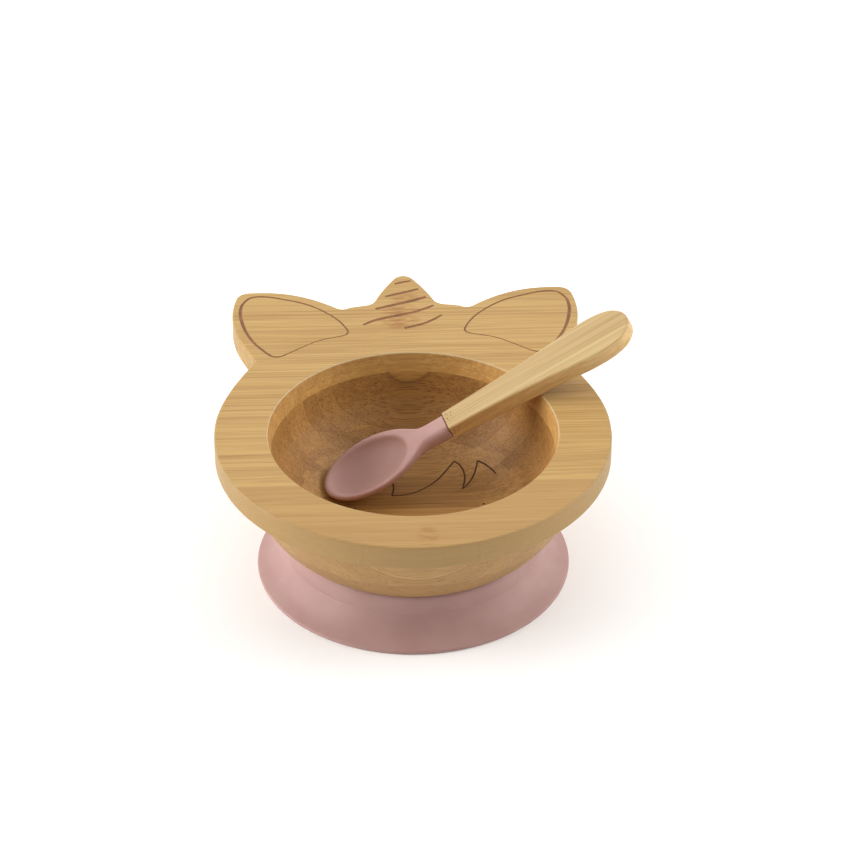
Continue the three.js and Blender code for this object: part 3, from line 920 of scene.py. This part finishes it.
# ---- Suction ring -------------------------------------------------------------------------------
def ring_profile():
    """The ring's section: from the lip up its outside, over the collar and back along the inside."""
    lip, crease = 56.2, 46.4
    skirt = spline([(lip, 1.2), (51.6, 3.6), (48.2, 6.8), (crease, 10.0)], 10)
    under = spline([(42.8, 7.0), (47.0, 4.4), (50.2, 1.9), (lip - 3.0, 0.0)], 8)
    rounded_lip = [(lip - 0.45, 0.0), (lip - 0.13, 0.13), (lip, 0.45), (lip - 0.02, 0.8), (lip - 0.3, 1.13)]
    collar = spline([(crease, 10.0), (46.5, 12.6), (46.1, 15.8), (45.3, 17.1), (44.4, 17.2)], 6)
    bore = [(43.6, 17.1), (43.1, 16.8), (43.0, 16.4), (43.0, 9.4), (42.9, 9.2)]
    flange = [(31.5, 9.2), (31.1, 8.9), (31.0, 8.1), (31.1, 7.3), (31.5, 7.0)]
    return [*rounded_lip, *skirt[1:-1], *collar, *bore, *flange, *under]


ring = make_object("ring", *turned(ring_profile(), 256))
finish_piece(settle(ring), [MATERIALS["ring"]], "ring", "suction_ring", 40)


# ---- Spoon --------------------------------------------------------------------------------------
def handle_half():
    """Half of the handle's outline, from the joint to the end."""
    return np.vstack([
        bezier([(0, HANDLE_HALF), (22, HANDLE_HALF + 0.7), (38, 6.6), (52, 8.45)], 34),
        bezier([(52, 8.45), (58, 9.3), (65, 9.9), (70.4, 7.4)], 18)[1:],
        bezier([(70.4, 7.4), (73.6, 5.4), (HANDLE_LENGTH, 2.8), (HANDLE_LENGTH, 0)], 14)[1:],
    ])


def handle():
    half = handle_half()
    outline = np.vstack([half, half[:-1][::-1] * np.array([1, -1])])
    under = spline(HANDLE_UNDER, 20)
    size = len(outline)
    loops = []

    def add(back, height):
        moved = inset(outline[::-1], back, closed=False)[::-1]
        moved[0] = (0, outline[0][1] - back)
        moved[-1] = (0, -outline[0][1] + back)
        heights = height(moved[:, 0])
        loops.append(np.column_stack([moved, np.broadcast_to(heights, size)]))

    def lower(x):
        return np.interp(x, under[:, 0], under[:, 1])

    top_edge, low_edge = 0.8, 1.3
    add(top_edge + 0.5, lambda x: 0.0)
    for back, drop in rounding(top_edge, 7):
        add(back, lambda x, drop=drop: -drop)
    add(0.0, lambda x: -top_edge - 0.3)
    add(0.0, lambda x: lower(x) + low_edge + 0.2)
    for back, drop in reversed(rounding(low_edge, 8)):
        add(back, lambda x, drop=drop: lower(x) + drop)
    add(low_edge + 0.4, lower)
    faces = quads(len(loops), size, closed_rows=False, closed_columns=False)
    first, final = 0, (len(loops) - 1) * size
    middle = size // 2
    for i in range(middle):
        j = size - 1 - i
        for start, turn in ((first, -1), (final, 1)):
            face = list(dict.fromkeys((start + i, start + i + 1, start + j - 1, start + j)))
            faces.append(tuple(face[::turn]))
    far = [k * size for k in range(len(loops))]
    near = [k * size + size - 1 for k in range(len(loops))]
    faces.append(tuple(far + near[::-1]))
    return np.vstack(loops), faces


def block(low, high):
    corners = [(x, y, z) for x in (low[0], high[0]) for y in (low[1], high[1]) for z in (low[2], high[2])]
    faces = [(0, 1, 3, 2), (4, 6, 7, 5), (0, 4, 5, 1), (2, 3, 7, 6), (0, 2, 6, 4), (1, 5, 7, 3)]
    return np.array(corners, float), faces


def smooth_max(a, b, width):
    near = np.maximum(width - np.abs(a - b), 0) / width
    return np.maximum(a, b) + near**2 * width / 4


def ellipsoid(points, centre, size):
    """Roughly the distance from an ellipsoid, negative inside."""
    p = points - np.array(centre)
    k0 = np.linalg.norm(p / np.array(size), axis=-1)
    k1 = np.linalg.norm(p / np.array(size) ** 2, axis=-1)
    return k0 * (k0 - 1) / np.maximum(k1, 1e-6)


def head_field(points):
    """Negative inside the spoon's silicone head."""
    x, y, z = points[..., 0], points[..., 1], points[..., 2]
    stations = [-18.5, -15.5, -13.0, -10.0, -8.0, -5.0, -2.2, -0.3]
    half = np.interp(x, stations, [7.0, 5.8, 5.0, 4.55, 4.45, 4.4, 4.45, 4.5])
    depth = np.interp(x, stations, [4.8, 5.4, 5.9, 6.3, 6.5, 6.6, 6.7, 6.75])
    corner = 2.9
    across = np.abs(y) - (half - corner)
    height = np.abs(z + depth / 2) - (depth / 2 - corner)
    outer = np.hypot(np.maximum(across, 0), np.maximum(height, 0))
    neck = outer + np.minimum(np.maximum(across, height), 0) - corner
    neck = np.maximum(neck, -20.0 - x)
    bowl = smooth_max(ellipsoid(points, HEAD_CENTRE, HEAD_SIZE), z, 1.3)
    body = -smooth_max(-bowl, -neck, 4.5)
    body = smooth_max(body, z, 0.5)
    body = smooth_max(body, -ellipsoid(points, HOLLOW_CENTRE, HOLLOW_SIZE), 1.5)
    body = smooth_max(body, x + FIT_GAP, 0.5)
    length, width, thickness = TENON
    beside = np.abs(y) - width / 2 - FIT_GAP
    above = np.abs(z - TENON_HEIGHT) - thickness / 2 - FIT_GAP
    socket = np.maximum.reduce([beside, above, -length - FIT_GAP - x])
    return np.maximum(body, -socket)


def surface_net(field, low, high, step):
    """Vertices and quads on the zero level of a field, one vertex in each cell that it crosses."""
    axes = [np.arange(a, b + step, step) for a, b in zip(low, high)]
    grid = np.stack(np.meshgrid(*axes, indexing="ij"), axis=-1)
    values = field(grid)
    inside = values < 0
    cells = tuple(n - 1 for n in values.shape)
    total = np.zeros((*cells, 3))
    hits = np.zeros(cells)
    corners = [(i, j, k) for i in (0, 1) for j in (0, 1) for k in (0, 1)]

    def part(array, corner):
        return array[tuple(slice(c, c + n) for c, n in zip(corner, cells))]

    for a in corners:
        for axis_number in range(3):
            if a[axis_number]:
                continue
            b = tuple(c + (n == axis_number) for n, c in enumerate(a))
            va, vb = part(values, a), part(values, b)
            crossed = part(inside, a) != part(inside, b)
            share = np.where(crossed, va / np.where(crossed, va - vb, 1), 0)
            point = part(grid, a) + (part(grid, b) - part(grid, a)) * share[..., None]
            total += np.where(crossed[..., None], point, 0)
            hits += crossed
    used = hits > 0
    number = np.full(cells, -1)
    number[used] = np.arange(used.sum())
    verts = total[used] / hits[used][:, None]
    faces = []
    for axis_number in range(3):
        u, v = (axis_number + 1) % 3, (axis_number + 2) % 3
        ahead = np.roll(inside, -1, axis=axis_number)
        crossing = inside != ahead
        for index in np.argwhere(crossing):
            if min(index[u], index[v]) == 0 or any(index[n] >= cells[n] for n in range(3)):
                continue
            back_u, back_v = np.eye(3, dtype=int)[u], np.eye(3, dtype=int)[v]
            quad = [index, index - back_u, index - back_u - back_v, index - back_v]
            quad = [number[tuple(q)] for q in quad]
            faces.append(tuple(quad if inside[tuple(index)] else quad[::-1]))
    return verts, faces


def settled_on(field, verts, rounds=6):
    """The vertices, moved along the field's slope onto its zero level."""
    small = 1e-3
    for _ in range(rounds):
        value = field(verts)
        sides = [field(verts + small * e) - field(verts - small * e) for e in np.eye(3)]
        slope = np.stack(sides, -1) / (2 * small)
        step = value[:, None] * slope / np.maximum((slope**2).sum(axis=1), 0.05)[:, None]
        verts = verts - np.clip(step, -0.2, 0.2)
    return verts


PORES = [  # (x, y, z, radius)
    (1.2, 2.6, 0, 0.22), (1.5, 1.7, 0, 0.17), (1.1, 0.2, 0, 0.24), (2.6, 0.9, 0, 0.2), (1.6, -1.3, 0, 0.18),
    (2.9, -0.6, 0, 0.15), (3.1, 2.2, 0, 0.22), (1.3, -4.5, -2.3, 0.26), (2.7, -4.52, -3.1, 0.24),
    (1.0, -4.5, -3.9, 0.2), (3.4, -4.55, -2.0, 0.18), (1.6, 4.52, -2.4, 0.22), (2.4, 4.52, -3.6, 0.2),
]
PORE_SPREAD, PORE_RISE = 1.006, 0.03  # set the pores' middles just outside the surface

handle_piece = make_object("handle", *handle())
add_two_slots(handle_piece)
tenon = block(
    (-TENON[0], -TENON[1] / 2, TENON_HEIGHT - TENON[2] / 2),
    (1, TENON[1] / 2, TENON_HEIGHT + TENON[2] / 2),
)
pores = merged([ball((x, y * PORE_SPREAD, z + PORE_RISE), radius) for x, y, z, radius in PORES])
join_or_cut(handle_piece, "DIFFERENCE", *pores, slot_of_faces=1)
join_or_cut(handle_piece, "UNION", *tenon)
handle_piece.data.transform(spoon_place())
handle_looks = [MATERIALS["handle"], MATERIALS["pore"]]
finish_piece(handle_piece, handle_looks, "spoon", "spoon_handle")

head_verts, head_faces = surface_net(head_field, (-50.6, -14.0, -8.6), (0.6, 14.0, 1.0), 0.4)
head = make_object("head", settled_on(head_field, head_verts), head_faces)
head.data.transform(spoon_place())
finish_piece(head, [MATERIALS["spoon"]], "spoon", "spoon_head", 50)


# ---- Stage, light and camera --------------------------------------------------------------------
def stage_floor():
    """A plain pale sheet with its far edge well out of sight."""
    size, count = 6.0, 24
    points = np.linspace(-size, size, count + 1)
    verts = [(x, y, 0) for x in points for y in points]
    faces = quads(count + 1, count + 1, closed_rows=False, closed_columns=False)
    made = make_object("floor_sheet", np.array(verts) / MM, faces)
    mesh = made.data
    if mesh.polygons[0].normal.z < 0:
        mesh.flip_normals()
    s = Shader("pale_floor")
    place = s.tree.nodes.new("ShaderNodeTexCoord").outputs["Object"]
    mottle = s.noise(s.vector("MULTIPLY", place, (9.0, 9.0, 9.0)), 3.0)
    s.set(Base_Color=s.mix(mottle, srgb(247, 247, 246), srgb(249, 249, 248)), Roughness=0.8)
    mesh.materials.append(s.material)


def softbox(name, place, target, size, power):
    """A large soft white light. Its places are in metres and its power in watts."""
    light = bpy.data.lights.new(name, "AREA")
    light.shape = "RECTANGLE"
    light.size, light.size_y = size
    light.energy = power
    made = new_object(name, light)
    made.location = place
    made.rotation_euler = (Vector(target) - Vector(place)).to_track_quat("-Z", "Y").to_euler()


def world(even, rear):
    """Pale light from all round, with more from behind the object than from the camera's side."""
    made = bpy.data.worlds.new("studio")
    made.use_nodes = True
    tree = made.node_tree
    background = tree.nodes["Background"]
    direction = tree.nodes.new("ShaderNodeTexCoord").outputs["Generated"]
    parts = tree.nodes.new("ShaderNodeSeparateXYZ")
    tree.links.new(direction, parts.inputs[0])
    strength = tree.nodes.new("ShaderNodeMapRange")
    for key, value in (("From Min", -0.6), ("From Max", 0.8), ("To Min", even), ("To Max", even + rear)):
        strength.inputs[key].default_value = value
    tree.links.new(parts.outputs[1], strength.inputs["Value"])
    tree.links.new(strength.outputs[0], background.inputs["Strength"])
    background.inputs["Color"].default_value = (1.0, 1.0, 1.0, 1.0)
    bpy.context.scene.world = made


def camera():
    """The camera of the picture: 34 degrees above the table, the bowl turned 2.3 degrees to it."""
    elevation, turn, distance = math.radians(34.0), math.radians(-2.3), 1150.0
    spin = Matrix.Rotation(turn, 3, "Z")
    target = AXIS + spin @ Vector((4.21, 0, 58.48)) * MM
    looking = spin @ Vector((0, math.cos(elevation), -math.sin(elevation)))
    lens = bpy.data.cameras.new("camera")
    lens.sensor_width = 36.0
    lens.lens = 138.5
    made = new_object("camera", lens)
    made.location = target - looking * distance * MM
    made.rotation_euler = (math.pi / 2 - elevation, 0, turn)
    bpy.context.scene.camera = made


stage_floor()
middle = (AXIS.x, AXIS.y, 0.05)
# Each softbox: its place and size in metres, and its power in watts.
SOFTBOXES = {
    "left": ((-1.5, 0.1, 0.75), (1.2, 1.2), 24.9),
    "right": ((1.4, 0.1, 0.9), (1.2, 1.2), 18.5),
    "above": ((-0.3, 0.3, 1.6), (1.4, 1.0), 0.5),
    "behind": ((0.0, 1.5, 0.9), (1.6, 0.9), 0.3),
    "leftlow": ((-1.4, -0.5, 0.25), (0.8, 0.5), 3.2),
}
for name, (place, size, power) in SOFTBOXES.items():
    softbox(name, place, middle, size, power)
world(0.44, 0.94)
bpy.context.scene.view_settings.view_transform = "Standard"
camera()
